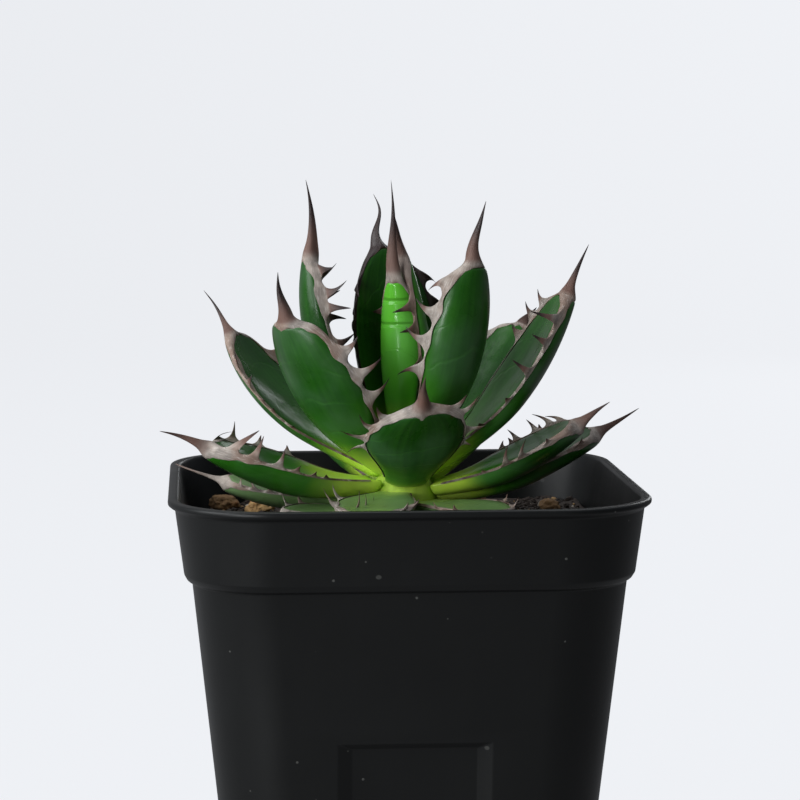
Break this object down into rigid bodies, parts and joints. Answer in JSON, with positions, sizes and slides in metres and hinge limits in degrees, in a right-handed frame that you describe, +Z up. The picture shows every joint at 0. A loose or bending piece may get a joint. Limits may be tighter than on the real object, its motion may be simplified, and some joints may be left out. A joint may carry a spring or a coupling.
{
  "type": "potted agave",
  "caption": "Compact agave rosette of channelled, horn-edged, toothed and spine-tipped leaves in soil in a tall square plastic nursery pot.",
  "frame": {"origin": "centre of the pot's flat underside, on the surface that the pot stands on", "axes": "+Z up; -Y is the front of the pot, the side that the picture looks at; +X to the right seen from the front"},
  "size_m": [0.0954, 0.09, 0.1583],
  "materials": {
    "plastic": "black moulded plastic with a soft sheen and pale dust specks",
    "soil": "matt dark grit",
    "pumice": "matt, pitted",
    "stem": "pale yellow-green, satin",
    "leaf": "waxy green, satin, yellow-green towards the base",
    "horn": "dry grey-beige horn, darkening to brown-black at the points"
  },
  "bodies": {
    "root": {"bud_blade": "leaf", "bud_horn": "horn", "leaf_01_blade": "leaf", "leaf_01_horn": "horn", "leaf_02_blade": "leaf", "leaf_02_horn": "horn", "leaf_03_blade": "leaf", "leaf_03_horn": "horn", "leaf_04_blade": "leaf", "leaf_04_horn": "horn", "leaf_05_blade": "leaf", "leaf_05_horn": "horn", "leaf_06_blade": "leaf", "leaf_06_horn": "horn", "leaf_07_blade": "leaf", "leaf_07_horn": "horn", "leaf_08_blade": "leaf", "leaf_08_horn": "horn", "leaf_09_blade": "leaf", "leaf_09_horn": "horn", "leaf_10_blade": "leaf", "leaf_10_horn": "horn", "leaf_11_blade": "leaf", "leaf_11_horn": "horn", "leaf_12_blade": "leaf", "leaf_12_horn": "horn", "leaf_13_blade": "leaf", "leaf_13_horn": "horn", "leaf_14_blade": "leaf", "leaf_14_horn": "horn", "leaf_15_blade": "leaf", "leaf_15_horn": "horn", "leaf_16_blade": "leaf", "leaf_16_horn": "horn", "leaf_17_blade": "leaf", "leaf_17_horn": "horn", "leaf_18_blade": "leaf", "leaf_18_horn": "horn", "leaf_19_blade": "leaf", "leaf_19_horn": "horn", "pot": "plastic", "soil": "soil", "stem": "stem", "stone_01": "pumice", "stone_02": "pumice", "stone_03": "pumice", "stone_04": "pumice", "stone_05": "pumice", "stone_06": "pumice", "stone_07": "pumice", "stone_08": "pumice", "stone_09": "pumice", "stone_10": "pumice"}
  },
  "joints": []
}
